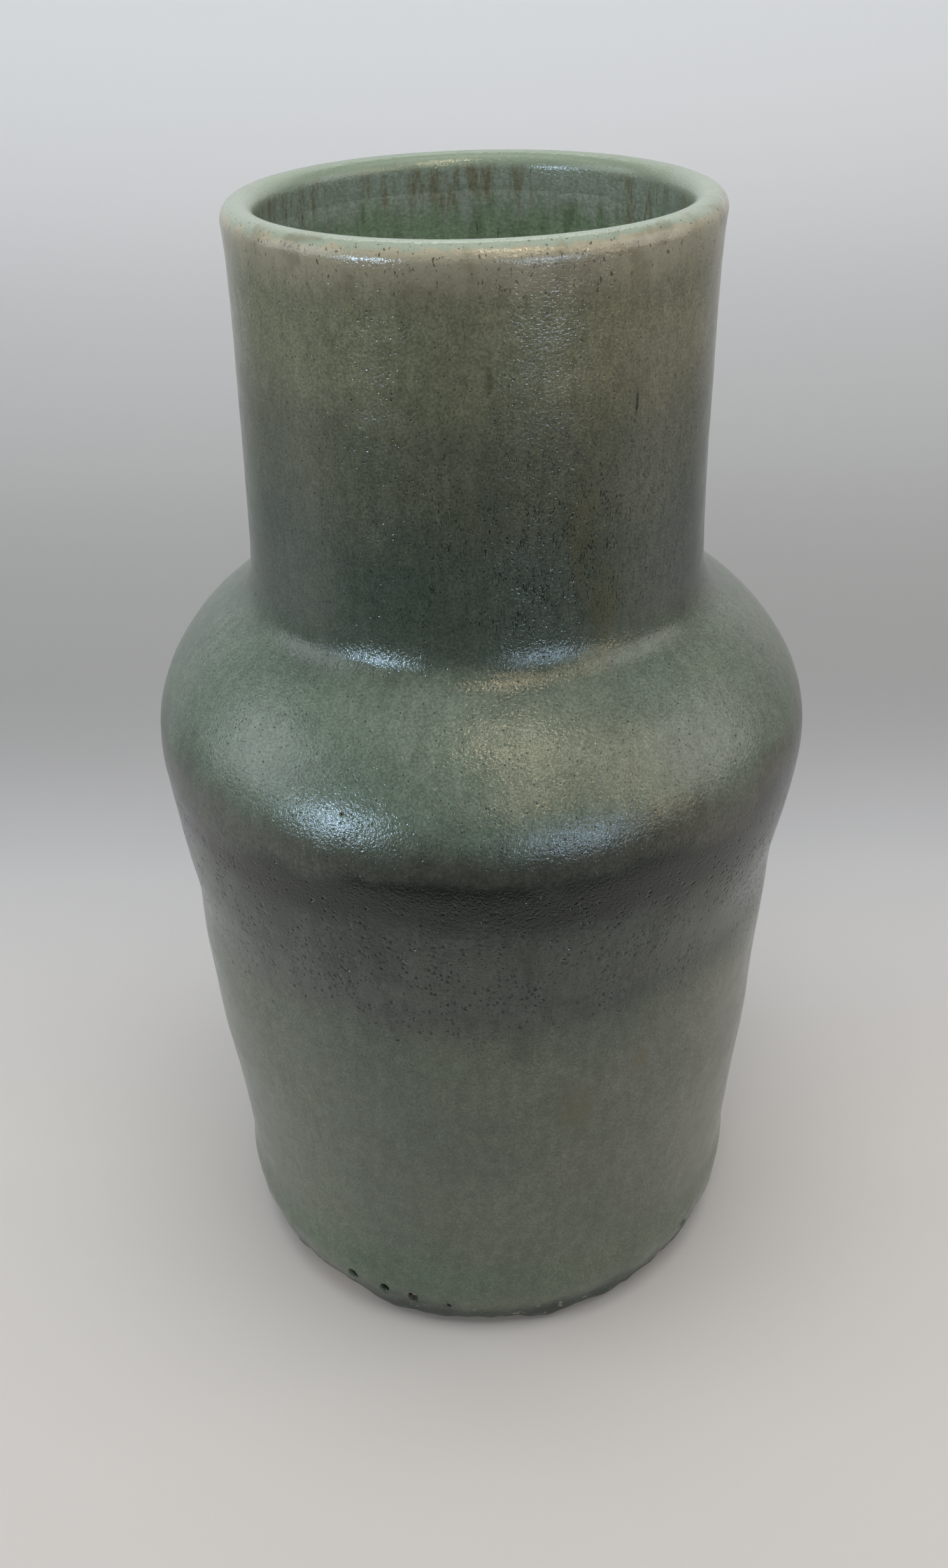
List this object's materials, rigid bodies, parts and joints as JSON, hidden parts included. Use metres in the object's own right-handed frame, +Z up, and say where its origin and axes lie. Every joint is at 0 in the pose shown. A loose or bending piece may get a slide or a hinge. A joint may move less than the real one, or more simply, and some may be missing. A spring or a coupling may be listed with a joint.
{
  "type": "pottery vase",
  "caption": "Wheel-thrown stoneware vase with a straight open neck, a rounded shoulder and a gently tapering body under satin celadon glaze.",
  "frame": {"origin": "centre of the foot on the surface that the vase stands on", "axes": "+Z up along the vase's axis, towards the mouth; -Y is the front in the main view"},
  "size_m": [0.1132, 0.1132, 0.1986],
  "materials": {
    "bare_stoneware": "matte unglazed buff stoneware with fine grog",
    "celadon_outside": "satin grey-green celadon, breaking buff on the lip",
    "celadon_inside": "satin mottled green celadon with drips under the lip"
  },
  "bodies": {
    "root": {"base_slab": "bare_stoneware", "body_wall": "bare_stoneware", "shoulder": "bare_stoneware", "neck": "bare_stoneware", "outer_glaze": "celadon_outside", "liner_glaze": "celadon_inside"}
  },
  "joints": []
}
